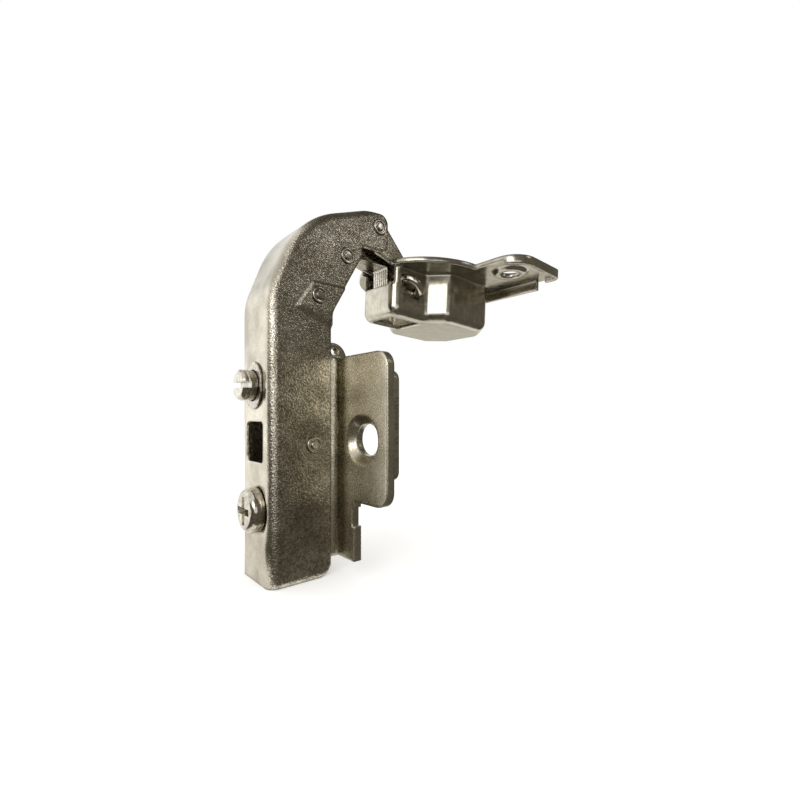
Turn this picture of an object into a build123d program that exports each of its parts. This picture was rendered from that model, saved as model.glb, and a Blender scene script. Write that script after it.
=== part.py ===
"""Blind-corner concealed cup hinge in pressed steel, shown open.

Frame: the origin is midway between the two mounting screws, on the seating face of the plate.
+X points into the panel, Y runs along the hinge pins, and +Z runs up the arm towards the cup.
"""

from build123d import *

import math
import os

# Mounting plate: a channel rail with two wings, on a backing plate
PLATE_SCREW_SPACING = 32.0
PLATE_SLOT_RADIUS = 3.3
PLATE_SLOT_LENGTH = 7.6
PLATE_SINK_WIDTH = 1.7
PLATE_SINK_DEPTH = 1.5
PLATE_SINK_ROUND = 0.8
BACKING_THICKNESS = 1.2
BACKING_TOP = 13.9
BACKING_BOTTOM = -7.8
BACKING_CORNER = 2.0
WING_THICKNESS = 1.8
WING_SPAN = 48.8
WING_TOP = 17.8
WING_BOTTOM = -13.1
WING_CORNER = 3.2
RAIL_HEIGHT = 7.0
RAIL_TOP = 21.2
RAIL_BOTTOM = -26.3
RAIL_EDGE_RADIUS = 2.2
FOLD_RADIUS = 1.6
TONGUE_RADIUS = 3.6
TONGUE_HOLE_RADIUS = 0.9
TONGUE_HOLE_INSET = 3.1
TONGUE_HOLE_DROP = 1.9
STEM_RADIUS = 2.6
STRIP_WIDTH = 26.6
STRIP_BOTTOM = -24.8
STRIP_NOTCH_Z = -16.4
STRIP_NOTCH_LENGTH = 4.0
STRIP_NOTCH_DEPTH = 0.9

# Arm: a folded channel with a goose neck
ARM_WIDTH = 14.8
ARM_DEPTH = 14.0
ARM_SHEET = 1.2
ARM_STANDOFF = 5.0
ARM_BOTTOM = -29.7
ARM_BEND_RADIUS = 2.2
ARM_FOOT_RADIUS = 3.0
NECK_START = 29.4
NECK_CORNER_RISE = 17.5
NECK_CORNER_REACH = 6.9
NECK_ENTRY_RADIUS = 14.0
NECK_RADIUS = 21.0
WEB_END_RISE = 23.6
WEB_END_REACH = 23.2
LUG_REACH = 29.9
LUG_TOP = 52.9
LUG_BOTTOM = 44.1
LUG_RADIUS = 2.2
LUG_HEEL_REACH = 22.35
LUG_HEEL_BOTTOM = 41.7
HEEL_RADIUS = 0.8
THROAT_START = 27.3
THROAT_RADIUS = 4.0
BULGE_HEIGHT = 0.7
BULGE_SLOPE = 50.0
BULGE_BACK = 5.6
BULGE_BACK_DROP = 3.0
BULGE_CROWN = 1.4
BULGE_RISE = 3.2
BULGE_FRONT = 9.0
BULGE_FRONT_DROP = 9.2

# Features of the web, from the bottom upwards
FIXING_SCREW_RISE = 15.0
DISH_RADIUS = 6.2
DISH_DEPTH = 0.5
DISH_MARGIN = 0.3
WINDOW_Z = -0.45
WINDOW_HEIGHT = 8.5
WINDOW_WIDTH = 8.4
WINDOW_CORNER = 1.0
ADJUSTING_SCREW_Z = 11.3

# Fixing screw and its clamp nut
FIXING_HEAD_RADIUS = 4.7
FIXING_HEAD_HEIGHT = 2.8
FIXING_HEAD_ROUND = 1.5
FIXING_TIP = -1.9
DRIVE_WIDTH = 1.4
DRIVE_LENGTH = 5.8
DRIVE_DEPTH = 1.7
DRIVE_TAPER = 10.0
NUT_WALL = 0.8
NUT_LENGTH = 11.0
NUT_THICKNESS = 3.7
NUT_CORNER = 1.0
DEPTH_TRAVEL = 2.0

# Adjusting screw and its bush
ADJUSTING_RADIUS = 3.1
ADJUSTING_PROUD = 3.5
ADJUSTING_SLOT_WIDTH = 1.3
ADJUSTING_SLOT_DEPTH = 1.7
STUD_CHAMFER = 0.4
BUSH_WIDTH = 8.2
BUSH_LENGTH = 9.8
BUSH_RIM = 0.35
BUSH_PROUD = 0.5
BUSH_DEPTH = 3.0

# Rivets, as (X, Z) of their axes
TOP_PIVOT = (8.4, 49.7)
MID_PIVOT = (-0.7, 40.7)
SPRING_PIVOT = (-8.2, 30.5)
LOWER_PIVOT = (-9.1, -1.2)
RIVET_RADIUS = 1.5
RIVET_HEAD_RADIUS = 1.7
RIVET_HEAD_HEIGHT = 0.4
RIVET_HEAD_ROUND = 0.2
RIVET_RING_RADIUS = 1.3
RIVET_BUTTON_RADIUS = 0.85
RIVET_BUTTON_RISE = 0.25
RIVET_BUTTON_ROUND = 0.18
RIVET_RING_DEPTH = 0.22
MID_COLLAR_RADIUS = 2.3

# Cup: drawn body with a flange, tilted past square as the door stands open
CUP_CENTRE = (31.0, 41.4)
CUP_TILT = 3.0
CUP_SHEET = 1.0
CUP_DEPTH = 12.5
CUP_BODY_WIDTH = 25.0
CUP_LEFT = -17.3
CUP_SHOULDER_START = -7.3
CUP_SHOULDER_END = -3.0
CUP_BODY_END = 11.4
CUP_RIGHT = 16.8
CUP_TAIL_WIDTH = 12.4
CUP_CORNER = 2.6
CUP_BOTTOM_RADIUS = 2.6
CUP_NOTCH_DEPTH = 4.2
CUP_WINDOW_START = -15.6
CUP_WINDOW_LENGTH = 10.0
CUP_WINDOW_WIDTH = 9.2
FLANGE_RADIUS = 19.0
FLANGE_SHEET = 1.2
FLANGE_WING_START = -1.3
FLANGE_WING_END = 17.4
FLANGE_SPAN = 63.4
FLANGE_CORNER = 2.6
FLANGE_BACK_CORNER = 6.0
FLANGE_LIP = 2.3
FLANGE_LIP_SHEET = 0.9
FLANGE_LIP_END = 25.0
FLANGE_RIM = 0.8
FLANGE_RIM_START = 27.4
FLANGE_SCREW_SPACING = 48.0
FLANGE_SCREW_OFFSET = 6.0
FLANGE_HOLE_RADIUS = 2.4
FLANGE_DIMPLE_RADIUS = 4.3
FLANGE_DIMPLE_DEPTH = 0.8
FLANGE_DIMPLE_TAPER = 40.0

# Hairpin whose two legs are the pivots in the cup, as (X, Z) of the legs
INNER_PIN = (16.9, 39.1)
OUTER_PIN = (20.7, 36.2)
PIN_RADIUS = 1.2
PIN_END_PROUD = 0.6
PIN_BEND_GAP = 0.1

# Outer link, whose upper eye is a slot with room round the top rivet
OUTER_LINK_SHEET = 1.0
OUTER_LINK_BACK = 3.6
OUTER_LINK_WEB_LENGTH = 12.4
OUTER_SLOT_TRAVEL = 1.2
OUTER_SLOT_SHIFT = -0.24
OUTER_SLOT_RISE = -1.0
OUTER_EYE_WALL = 1.0
OUTER_SLOT_WALL = 0.75
OUTER_HIP_LENGTH = 4.4
OUTER_HIP_DROP = 3.2
OUTER_NECK_LENGTH = 7.2
OUTER_NECK_BASE = 0.95
OUTER_NECK_ROUND = 0.8

# Inner link, a pack of equal leaves
LEAF_COUNT = 7
LEAF_PITCH = 0.85
LEAF_GAP = 0.12
LEAF_EYE_RADIUS = 3.0
LEAF_HOOK_RADIUS = 2.5
LEAF_TOP = 5.2
LEAF_RISE_END = 5.1
LEAF_CROWN = 4.7
LEAF_NOSE = 1.8
LEAF_NECK_HEIGHT = 4.5
LEAF_UNDERSIDE = 2.1
LEAF_UNDER_END = 6.9
LEAF_ROUND = 0.7

# Coil spring on its rivet
SPRING_WIRE = 1.5
SPRING_RADIUS = 3.9
SPRING_TURNS = 5.25
SPRING_PITCH = 1.56
SPRING_LEG = 7.3
SPRING_REST = 0.1

# Fits
RIVET_FIT = 0.02
PIVOT_CLEARANCE = 0.06
THREAD_CLEARANCE = 0.06
SLOT_CLEARANCE = 0.78
TILT_CLEARANCE = 0.15
SHANK_CLEARANCE = 0.35
NUT_CLEARANCE = 0.12
BEARING_CLEARANCE = 0.05
BACKING_CLEARANCE = 0.3
RAIL_CLEARANCE = 0.4
RAIL_SLOT_CLEARANCE = 0.3
NUT_SIDE_CLEARANCE = 0.3
LINK_CLEARANCE = 0.6
NOTCH_CLEARANCE = 0.4
NECK_CLEARANCE = 0.5

# Places that follow from the sizes above
WING_FRONT = -BACKING_THICKNESS - WING_THICKNESS
ARM_EDGE = -ARM_STANDOFF
WEB_X = ARM_EDGE - ARM_DEPTH
ARM_INNER_WIDTH = ARM_WIDTH - 2 * ARM_SHEET
RAIL_WIDTH = ARM_INNER_WIDTH - 2 * RAIL_CLEARANCE
NUT_WIDTH = RAIL_WIDTH - 2 * (WING_THICKNESS + NUT_SIDE_CLEARANCE)
FIXING_SHANK_RADIUS = NUT_WIDTH / 2 - NUT_WALL
RAIL_SLOT_RADIUS = FIXING_SHANK_RADIUS + RAIL_SLOT_CLEARANCE
OUTER_LINK_WIDTH = ARM_INNER_WIDTH - 2 * LINK_CLEARANCE
CUP_NOTCH_WIDTH = OUTER_LINK_WIDTH + 2 * NOTCH_CLEARANCE
CUP_NECK_WIDTH = OUTER_LINK_WIDTH + 2 * (NECK_CLEARANCE + CUP_SHEET)
FIXING_SCREW_Z = ARM_BOTTOM + FIXING_SCREW_RISE
PIVOT_TUBE = RIVET_RADIUS + PIVOT_CLEARANCE
SIDE = Plane.XZ
CUP_PLANE = Plane(
    origin=(CUP_CENTRE[0], 0, CUP_CENTRE[1]),
    x_dir=(math.cos(math.radians(CUP_TILT)), 0, -math.sin(math.radians(CUP_TILT))),
    z_dir=(math.sin(math.radians(CUP_TILT)), 0, math.cos(math.radians(CUP_TILT))),
)

os.makedirs("parts", exist_ok=True)


def save(piece, name):
    """Label a finished piece and write it to its own file."""
    piece.part.label = name
    export_step(piece.part, f"parts/{name}.step")


def web_plane(depth):
    """Sketch plane parallel to the web, facing outwards, at a depth behind the web's outer face."""
    return Plane(origin=(WEB_X + depth, 0, 0), x_dir=(0, -1, 0), z_dir=(-1, 0, 0))


def along(start, end):
    """Sketch plane on the hinge's middle: local x runs from start to end, local y to the upper right."""
    direction = (end[0] - start[0], 0, end[1] - start[1])
    return Plane(origin=(start[0], 0, start[1]), x_dir=direction, z_dir=(0, -1, 0))


def inset(path, distance):
    """Corners of a path of straight runs, moved to its right-hand side by a distance."""
    runs = [Vector(*end) - Vector(*start) for start, end in zip(path, path[1:])]
    sides = [Vector(run.Y, -run.X).normalized() for run in runs]
    sides = [sides[0], *sides, sides[-1]]
    moved = []
    for corner, before, after in zip(path, sides, sides[1:]):
        middle = before + after
        point = Vector(*corner) + middle * (2 * distance / middle.dot(middle))
        moved.append((point.X, point.Y))
    return moved


def runs_along(edge, outline):
    """Tell whether an edge of the arm lies on an outline drawn on the side plane."""
    middle = edge @ 0.5
    return outline.distance_to(Vector(middle.X, middle.Z)) < 0.01


# Wing plate: channel rail with two wings, one pressing
rail_half = RAIL_WIDTH / 2
rail_inner_half = rail_half - WING_THICKNESS
wing_mid_z = (WING_TOP + WING_BOTTOM) / 2
with BuildPart() as wing_plate:
    with BuildSketch(Plane.XY.offset(RAIL_BOTTOM)):
        with BuildLine():
            crown = FilletPolyline(
                (0, -rail_half),
                (-RAIL_HEIGHT, -rail_half),
                (-RAIL_HEIGHT, rail_half),
                (0, rail_half),
                radius=RAIL_EDGE_RADIUS,
            )
            Line(crown @ 1, crown @ 0)
        make_face()
        with BuildLine():
            hollow = FilletPolyline(
                (0, -rail_inner_half),
                (WING_THICKNESS - RAIL_HEIGHT, -rail_inner_half),
                (WING_THICKNESS - RAIL_HEIGHT, rail_inner_half),
                (0, rail_inner_half),
                radius=RAIL_EDGE_RADIUS - WING_THICKNESS,
            )
            Line(hollow @ 1, hollow @ 0)
        make_face(mode=Mode.SUBTRACT)
    extrude(amount=RAIL_TOP - RAIL_BOTTOM)
    wall_ends = wing_plate.edges().filter_by(Axis.Y).filter_by_position(Axis.X, -0.01, 0.01)
    fillet(wall_ends.sort_by(Axis.Z)[-2:], TONGUE_RADIUS)
    fillet(wall_ends.sort_by(Axis.Z)[:2], STEM_RADIUS)
    with BuildSketch(Plane.YZ.offset(-BACKING_THICKNESS)):
        with Locations((0, (BACKING_TOP + BACKING_BOTTOM) / 2)):
            Rectangle(WING_SPAN, BACKING_TOP - BACKING_BOTTOM + 2 * BACKING_CLEARANCE)
    extrude(amount=BACKING_THICKNESS, mode=Mode.SUBTRACT)
    with BuildSketch(Plane.YZ.offset(WING_FRONT)):
        with Locations((0, wing_mid_z)):
            RectangleRounded(WING_SPAN, WING_TOP - WING_BOTTOM, WING_CORNER)
        with Locations((0, (STRIP_BOTTOM + WING_BOTTOM) / 2)):
            Rectangle(STRIP_WIDTH, WING_BOTTOM - STRIP_BOTTOM + 2)
        with Locations((STRIP_WIDTH / 2, STRIP_NOTCH_Z), (-STRIP_WIDTH / 2, STRIP_NOTCH_Z)):
            Rectangle(2 * STRIP_NOTCH_DEPTH, STRIP_NOTCH_LENGTH, mode=Mode.SUBTRACT)
        with Locations((0, wing_mid_z)):
            Rectangle(RAIL_WIDTH - WING_THICKNESS, 2 * (RAIL_TOP - RAIL_BOTTOM), mode=Mode.SUBTRACT)
    extrude(amount=WING_THICKNESS)
    folds = wing_plate.edges().filter_by(Axis.Z)
    folds = folds.filter_by_position(Axis.X, WING_FRONT - 0.01, WING_FRONT + 0.01)
    fillet([e for e in folds if abs(abs(e.center().Y) - rail_half) < 0.01], FOLD_RADIUS)
    with BuildSketch(Plane.YZ.offset(WING_FRONT)):
        with Locations((-PLATE_SCREW_SPACING / 2, 0), (PLATE_SCREW_SPACING / 2, 0)):
            SlotOverall(PLATE_SLOT_LENGTH, 2 * PLATE_SLOT_RADIUS)
    extrude(amount=WING_THICKNESS, mode=Mode.SUBTRACT)
    with BuildSketch(Plane.YZ.offset(WING_FRONT)):
        with Locations((-PLATE_SCREW_SPACING / 2, 0), (PLATE_SCREW_SPACING / 2, 0)):
            sink_length = PLATE_SLOT_LENGTH + 2 * PLATE_SINK_WIDTH
            SlotOverall(sink_length, 2 * (PLATE_SLOT_RADIUS + PLATE_SINK_WIDTH))
    sink_slope = math.degrees(math.atan2(PLATE_SINK_WIDTH, PLATE_SINK_DEPTH))
    extrude(amount=PLATE_SINK_DEPTH, taper=sink_slope, mode=Mode.SUBTRACT)
    sink_reach = PLATE_SLOT_LENGTH / 2 + PLATE_SINK_WIDTH + 0.01
    lips = wing_plate.edges().filter_by_position(Axis.X, WING_FRONT - 0.01, WING_FRONT + 0.01)
    lips = lips.filter_by_position(Axis.Z, -sink_reach, sink_reach)
    lips = [e for e in lips if abs(abs(e.center().Y) - PLATE_SCREW_SPACING / 2) < sink_reach]
    fillet(lips, PLATE_SINK_ROUND)
    with BuildSketch(Plane.YZ.offset(-RAIL_HEIGHT)):
        with Locations((0, FIXING_SCREW_Z)):
            SlotCenterToCenter(2 * (DEPTH_TRAVEL + NUT_CLEARANCE), 2 * RAIL_SLOT_RADIUS, rotation=90)
    extrude(amount=WING_THICKNESS, mode=Mode.SUBTRACT)
    with BuildSketch(SIDE):
        with Locations((-TONGUE_HOLE_INSET, RAIL_TOP - TONGUE_HOLE_DROP)):
            Circle(TONGUE_HOLE_RADIUS)
    extrude(amount=RAIL_WIDTH, both=True, mode=Mode.SUBTRACT)
save(wing_plate, "wing_plate")

# Backing plate: second layer behind the wings, whose back is the seating face
with BuildPart() as backing_plate:
    with BuildSketch(Plane.YZ.offset(-BACKING_THICKNESS)):
        with Locations((0, (BACKING_TOP + BACKING_BOTTOM) / 2)):
            RectangleRounded(WING_SPAN, BACKING_TOP - BACKING_BOTTOM, BACKING_CORNER)
        with Locations((-PLATE_SCREW_SPACING / 2, 0), (PLATE_SCREW_SPACING / 2, 0)):
            SlotOverall(PLATE_SLOT_LENGTH, 2 * PLATE_SLOT_RADIUS, mode=Mode.SUBTRACT)
    extrude(amount=BACKING_THICKNESS)
save(backing_plate, "backing_plate")

# Clamp nut: sliding block in the rail
nut_back = -BACKING_THICKNESS - NUT_CLEARANCE
with BuildPart() as clamp_nut:
    with BuildSketch(Plane.YZ.offset(nut_back)):
        with Locations((0, FIXING_SCREW_Z)):
            RectangleRounded(NUT_WIDTH, NUT_LENGTH, NUT_CORNER)
            Circle(FIXING_SHANK_RADIUS + THREAD_CLEARANCE, mode=Mode.SUBTRACT)
    extrude(amount=-NUT_THICKNESS)
save(clamp_nut, "clamp_nut")

# Arm: folded channel, its web following the goose neck
neck_path = [
    (WEB_X, ARM_BOTTOM),
    (WEB_X, NECK_START),
    (WEB_X + NECK_CORNER_REACH, NECK_START + NECK_CORNER_RISE),
    (WEB_X + WEB_END_REACH, NECK_START + WEB_END_RISE),
]
inner_path = inset(neck_path, ARM_SHEET)
throat_path = [
    (ARM_EDGE, SPRING_PIVOT[1] - ARM_DEPTH),
    (ARM_EDGE, THROAT_START),
    (WEB_X + LUG_HEEL_REACH, LUG_HEEL_BOTTOM),
]
bulge = [
    (SPRING_PIVOT[0] - BULGE_BACK, SPRING_PIVOT[1] - BULGE_BACK_DROP),
    (SPRING_PIVOT[0] - BULGE_CROWN, SPRING_PIVOT[1] + BULGE_RISE),
    (SPRING_PIVOT[0] + BULGE_FRONT, SPRING_PIVOT[1] + BULGE_RISE),
    (SPRING_PIVOT[0] + BULGE_FRONT, SPRING_PIVOT[1] - BULGE_FRONT_DROP),
]
with BuildPart() as arm:
    with BuildSketch(SIDE):
        with BuildLine():
            back = FilletPolyline(*neck_path, radius=[NECK_ENTRY_RADIUS, NECK_RADIUS])
            FilletPolyline(
                back @ 1,
                (WEB_X + LUG_REACH, LUG_TOP),
                (WEB_X + LUG_REACH, LUG_BOTTOM),
                (WEB_X + LUG_HEEL_REACH, LUG_BOTTOM),
                (WEB_X + LUG_HEEL_REACH, LUG_HEEL_BOTTOM),
                (ARM_EDGE, THROAT_START),
                (ARM_EDGE, ARM_BOTTOM),
                back @ 0,
                radius=[LUG_RADIUS, LUG_RADIUS, HEEL_RADIUS, HEEL_RADIUS, THROAT_RADIUS, ARM_FOOT_RADIUS],
            )
        make_face()
    extrude(amount=ARM_WIDTH / 2, both=True)
    rims = [e for e in arm.edges() if abs(abs(e.center().Y) - ARM_WIDTH / 2) < 0.01]
    fillet([e for e in rims if runs_along(e, back)], ARM_BEND_RADIUS)
    for side in (-1, 1):
        with BuildSketch(SIDE.offset(side * ARM_WIDTH / 2)):
            with BuildLine():
                Polyline(*bulge, close=True)
            make_face()
        extrude(amount=side * BULGE_HEIGHT, taper=BULGE_SLOPE)
        with BuildSketch(SIDE.offset(side * ARM_WIDTH / 2)):
            with BuildLine():
                throat = FilletPolyline(*throat_path, radius=THROAT_RADIUS)
                Polyline(
                    throat @ 1,
                    (throat_path[-1][0] + ARM_DEPTH, throat_path[-1][1]),
                    (throat_path[-1][0] + ARM_DEPTH, throat_path[0][1]),
                    throat @ 0,
                )
            make_face()
        extrude(amount=side * 2 * BULGE_HEIGHT, mode=Mode.SUBTRACT)
    with BuildSketch(SIDE):
        with BuildLine():
            lining_radii = [NECK_ENTRY_RADIUS - ARM_SHEET, NECK_RADIUS - ARM_SHEET]
            lining = FilletPolyline(*inner_path, radius=lining_radii)
            Polyline(
                lining @ 1,
                (WEB_X + WEB_END_REACH, LUG_TOP + ARM_DEPTH),
                (WEB_X + 2 * LUG_REACH, LUG_TOP + ARM_DEPTH),
                (WEB_X + 2 * LUG_REACH, ARM_BOTTOM),
                lining @ 0,
            )
        make_face()
    extrude(amount=ARM_INNER_WIDTH / 2, both=True, mode=Mode.SUBTRACT)
    for side in (-1, 1):
        with BuildSketch(SIDE.offset(side * ARM_INNER_WIDTH / 2)):
            with BuildLine():
                Polyline(*bulge, close=True)
            make_face()
        extrude(amount=side * BULGE_HEIGHT, taper=BULGE_SLOPE, mode=Mode.SUBTRACT)
    with BuildSketch(SIDE):
        with Locations(TOP_PIVOT, MID_PIVOT, SPRING_PIVOT, LOWER_PIVOT):
            Circle(RIVET_RADIUS + RIVET_FIT)
    extrude(amount=ARM_WIDTH, both=True, mode=Mode.SUBTRACT)
    with BuildSketch(web_plane(ARM_SHEET)):
        with Locations((0, FIXING_SCREW_Z)):
            Circle(DISH_RADIUS)
    extrude(amount=-DISH_DEPTH)
    with BuildSketch(web_plane(0)):
        with Locations((0, FIXING_SCREW_Z)):
            Circle(DISH_RADIUS)
    dish_slope = math.degrees(math.atan2(DISH_RADIUS - FIXING_HEAD_RADIUS - DISH_MARGIN, DISH_DEPTH))
    extrude(amount=-DISH_DEPTH, taper=dish_slope, mode=Mode.SUBTRACT)
    with BuildSketch(web_plane(0)):
        with Locations((0, FIXING_SCREW_Z)):
            Circle(FIXING_SHANK_RADIUS + SHANK_CLEARANCE)
        with Locations((0, WINDOW_Z)):
            RectangleRounded(WINDOW_WIDTH, WINDOW_HEIGHT, WINDOW_CORNER)
        with Locations((0, ADJUSTING_SCREW_Z)):
            SlotOverall(BUSH_LENGTH - 2 * BUSH_RIM, BUSH_WIDTH - 2 * BUSH_RIM, rotation=90)
    extrude(amount=-2 * ARM_SHEET, mode=Mode.SUBTRACT)
save(arm, "arm")

# Threaded bush pressed into the web, for the adjusting screw
neck_inset = BUSH_RIM + RIVET_FIT
with BuildPart() as adjusting_bush:
    with BuildSketch(web_plane(0)):
        with Locations((0, ADJUSTING_SCREW_Z)):
            SlotOverall(BUSH_LENGTH, BUSH_WIDTH, rotation=90)
    extrude(amount=BUSH_PROUD)
    with BuildSketch(web_plane(0)):
        with Locations((0, ADJUSTING_SCREW_Z)):
            SlotOverall(BUSH_LENGTH - 2 * neck_inset, BUSH_WIDTH - 2 * neck_inset, rotation=90)
    extrude(amount=-BUSH_DEPTH)
    with BuildSketch(web_plane(0)):
        with Locations((0, ADJUSTING_SCREW_Z)):
            Circle(ADJUSTING_RADIUS + TILT_CLEARANCE)
    extrude(amount=2 * BUSH_DEPTH, both=True, mode=Mode.SUBTRACT)
save(adjusting_bush, "adjusting_bush")

# Adjusting screw: slotted stud that bears on the rail
stud_length = ADJUSTING_PROUD - WEB_X - RAIL_HEIGHT - BEARING_CLEARANCE
with BuildPart() as adjusting_screw:
    with BuildSketch(web_plane(-ADJUSTING_PROUD)):
        with Locations((0, ADJUSTING_SCREW_Z)):
            Circle(ADJUSTING_RADIUS)
    extrude(amount=-stud_length)
    chamfer(adjusting_screw.faces().sort_by(Axis.X)[0].edges(), STUD_CHAMFER)
    chamfer(adjusting_screw.faces().sort_by(Axis.X)[-1].edges(), STUD_CHAMFER)
    with BuildSketch(web_plane(-ADJUSTING_PROUD)):
        with Locations((0, ADJUSTING_SCREW_Z)):
            Rectangle(3 * ADJUSTING_RADIUS, ADJUSTING_SLOT_WIDTH)
    extrude(amount=-ADJUSTING_SLOT_DEPTH, mode=Mode.SUBTRACT)
save(adjusting_screw, "adjusting_screw")

# Fixing screw: pan head with a cross drive, threaded into the clamp nut
head_seat = DISH_DEPTH - TILT_CLEARANCE
with BuildPart() as fixing_screw:
    with BuildSketch(web_plane(head_seat)):
        with Locations((0, FIXING_SCREW_Z)):
            Circle(FIXING_HEAD_RADIUS)
    extrude(amount=FIXING_HEAD_HEIGHT)
    fillet(fixing_screw.faces().sort_by(Axis.X)[0].edges(), FIXING_HEAD_ROUND)
    with BuildSketch(web_plane(head_seat)):
        with Locations((0, FIXING_SCREW_Z)):
            Circle(FIXING_SHANK_RADIUS)
    extrude(amount=-(FIXING_TIP - WEB_X - head_seat))
    with BuildSketch(web_plane(head_seat - FIXING_HEAD_HEIGHT)):
        with Locations((0, FIXING_SCREW_Z)):
            Rectangle(DRIVE_LENGTH, DRIVE_WIDTH)
            Rectangle(DRIVE_WIDTH, DRIVE_LENGTH)
    extrude(amount=-DRIVE_DEPTH, taper=DRIVE_TAPER, mode=Mode.SUBTRACT)
save(fixing_screw, "fixing_screw")


def rivet(name, pivot, proud=0.0, collar_start=None):
    """Make one rivet across the arm, with a rolled rim and a raised button on each end.

    Its heads lie proud of the cheeks where they bulge, and collars keep a link in the middle of the arm.
    """
    seat = ARM_WIDTH / 2 + proud
    with BuildPart() as piece:
        with BuildSketch(SIDE):
            with Locations(pivot):
                Circle(RIVET_RADIUS)
        extrude(amount=seat, both=True)
        for side in (-1, 1):
            with BuildSketch(SIDE.offset(side * seat)):
                with Locations(pivot):
                    Circle(RIVET_HEAD_RADIUS)
            extrude(amount=side * RIVET_HEAD_HEIGHT)
        ends = piece.faces().filter_by(Axis.Y).sort_by(Axis.Y)
        fillet(ends[0].edges() + ends[-1].edges(), RIVET_HEAD_ROUND)
        for side in (-1, 1):
            with BuildSketch(SIDE.offset(side * (seat + RIVET_HEAD_HEIGHT))):
                with Locations(pivot):
                    Circle(RIVET_RING_RADIUS)
                    Circle(RIVET_BUTTON_RADIUS, mode=Mode.SUBTRACT)
            extrude(amount=-side * RIVET_RING_DEPTH, mode=Mode.SUBTRACT)
            with BuildSketch(SIDE.offset(side * (seat + RIVET_HEAD_HEIGHT))):
                with Locations(pivot):
                    Circle(RIVET_BUTTON_RADIUS)
            extrude(amount=side * RIVET_BUTTON_RISE)
        buttons = piece.faces().filter_by(Axis.Y).sort_by(Axis.Y)
        fillet(buttons[0].edges() + buttons[-1].edges(), RIVET_BUTTON_ROUND)
        if collar_start is not None:
            for side in (-1, 1):
                with BuildSketch(SIDE.offset(side * collar_start)):
                    with Locations(pivot):
                        Circle(MID_COLLAR_RADIUS)
                extrude(amount=side * (ARM_INNER_WIDTH / 2 - RIVET_FIT - collar_start))
    save(piece, name)


rivet("top_rivet", TOP_PIVOT)
rivet("mid_rivet", MID_PIVOT, collar_start=LEAF_COUNT * LEAF_PITCH / 2 + PIVOT_CLEARANCE)
rivet("spring_rivet", SPRING_PIVOT, proud=BULGE_HEIGHT)
rivet("lower_rivet", LOWER_PIVOT)

# Outer link: folded channel from the top rivet to the outer leg of the hairpin
link_plane = along(TOP_PIVOT, OUTER_PIN)
link_length = math.dist(TOP_PIVOT, OUTER_PIN)
slot_radius = RIVET_RADIUS + SLOT_CLEARANCE
pin_bore = PIN_RADIUS + PIVOT_CLEARANCE
with BuildPart() as outer_link:
    with BuildSketch(link_plane):
        with Locations((OUTER_SLOT_SHIFT, OUTER_SLOT_RISE)):
            SlotCenterToCenter(OUTER_SLOT_TRAVEL, 2 * (slot_radius + OUTER_SLOT_WALL), rotation=90)
        with Locations((link_length, 0)):
            Circle(pin_bore + OUTER_EYE_WALL)
        with BuildLine():
            FilletPolyline(
                (OUTER_SLOT_SHIFT, OUTER_LINK_BACK),
                (link_length, OUTER_LINK_BACK),
                (link_length + pin_bore + OUTER_EYE_WALL, 0),
                (link_length, 0),
                (link_length - pin_bore - OUTER_EYE_WALL, OUTER_NECK_BASE),
                (link_length - OUTER_NECK_LENGTH, OUTER_NECK_BASE),
                (OUTER_HIP_LENGTH, -OUTER_HIP_DROP),
                (OUTER_SLOT_SHIFT, -OUTER_HIP_DROP),
                radius=OUTER_NECK_ROUND,
                close=True,
            )
        make_face()
        with Locations((OUTER_SLOT_SHIFT, OUTER_SLOT_RISE)):
            SlotCenterToCenter(OUTER_SLOT_TRAVEL, 2 * slot_radius, rotation=90, mode=Mode.SUBTRACT)
        with Locations((link_length, 0)):
            Circle(pin_bore, mode=Mode.SUBTRACT)
    extrude(amount=OUTER_LINK_WIDTH / 2, both=True)
    with BuildSketch(link_plane):
        with BuildLine():
            Polyline(
                (-link_length, -link_length),
                (-link_length, link_length),
                (OUTER_SLOT_SHIFT, link_length),
                (OUTER_SLOT_SHIFT, OUTER_LINK_BACK - OUTER_LINK_SHEET),
                (OUTER_LINK_WEB_LENGTH, OUTER_LINK_BACK - OUTER_LINK_SHEET),
                (OUTER_LINK_WEB_LENGTH, link_length),
                (2 * link_length, link_length),
                (2 * link_length, -link_length),
                close=True,
            )
        make_face()
    extrude(amount=OUTER_LINK_WIDTH / 2 - OUTER_LINK_SHEET, both=True, mode=Mode.SUBTRACT)
save(outer_link, "outer_link")


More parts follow.
